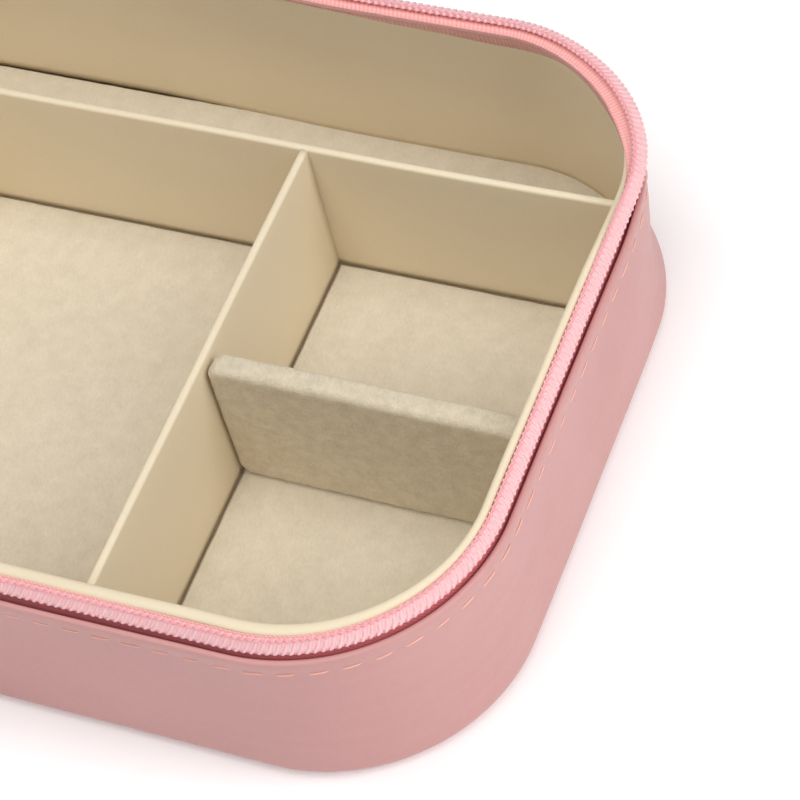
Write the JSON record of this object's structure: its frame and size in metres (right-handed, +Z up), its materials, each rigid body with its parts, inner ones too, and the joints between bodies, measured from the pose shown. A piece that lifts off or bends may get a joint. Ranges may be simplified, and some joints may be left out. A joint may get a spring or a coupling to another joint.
{
  "type": "jewelry box",
  "caption": "Zip-around jewelry box with rounded corners, fixed and removable dividers, ring rolls and a hinged mirrored lid.",
  "frame": {"origin": "centre of the base's underside", "axes": "+Z up, +X to the right along the case's length with the lid's hinge at -X, +Y to the back"},
  "size_m": [0.2789, 0.162, 0.2444],
  "materials": {
    "leather": "satin pink coated leather",
    "board": "pressed fibre board",
    "liner": "smooth beige coated liner",
    "velvet": "short beige velvet nap",
    "zipper_tape": "woven pink tape",
    "zipper_coil": "satin pink nylon coil",
    "metal": "polished rose gold plating",
    "mirror": "polished"
  },
  "bodies": {
    "base": {"base_bottom_panel": "leather", "base_skin": "leather", "base_floor_board": "board", "base_shell": "board", "base_liner": "liner", "main_floor_pad": "velvet", "right_floor_pad": "velvet", "ring_bay_floor_pad": "velvet", "back_strip_floor_pad": "velvet", "back_divider": "liner", "cross_divider": "liner", "ring_divider": "liner", "ring_roll_1": "velvet", "ring_roll_2": "velvet", "ring_roll_3": "velvet", "ring_roll_4": "velvet", "base_zipper_tape": "zipper_tape", "base_zipper_coil": "zipper_coil", "base_zipper_stops": "zipper_coil", "hinge_spine": "leather", "hinge_lining": "liner"},
    "removable_divider": {"removable_divider_board": "board", "removable_divider_cover": "velvet"},
    "lid": {"lid_top_panel": "leather", "lid_skin": "leather", "lid_board": "board", "lid_shell": "board", "lid_liner": "liner", "lid_lining_panel": "velvet", "lid_mirror_frame": "liner", "lid_mirror": "mirror", "lid_zipper_tape": "zipper_tape", "lid_zipper_coil": "zipper_coil", "lid_zipper_stops": "zipper_coil"},
    "front_slider": {"front_slider": "metal"},
    "front_pull": {"front_pull": "metal"},
    "back_slider": {"back_slider": "metal"},
    "back_pull": {"back_pull": "metal"}
  },
  "joints": [
    {"name": "lid_hinge", "type": "hinge", "parent": "base", "child": "lid", "pos_m": [-0.1025, 0, 0.0474], "axis": [0, -1, 0], "range_deg": [-105, 0], "deforming": ["hinge_spine", "hinge_lining"]},
    {"name": "removable_divider_lift", "type": "slide", "parent": "base", "child": "removable_divider", "axis": [0, 0, 1], "range_m": [0, 0.045]},
    {"name": "front_slider_travel", "type": "slide", "parent": "base", "child": "front_slider", "axis": [1, 0, 0], "range_m": [0, 0.112]},
    {"name": "back_slider_travel", "type": "slide", "parent": "base", "child": "back_slider", "axis": [1, 0, 0], "range_m": [0, 0.112]},
    {"name": "front_pull_swing", "type": "hinge", "parent": "front_slider", "child": "front_pull", "pos_m": [-0.056, -0.07935, 0.0474], "axis": [-1, 0, 0], "range_deg": [0, 170]},
    {"name": "back_pull_swing", "type": "hinge", "parent": "back_slider", "child": "back_pull", "pos_m": [-0.056, 0.07935, 0.0474], "axis": [1, 0, 0], "range_deg": [0, 170]}
  ]
}
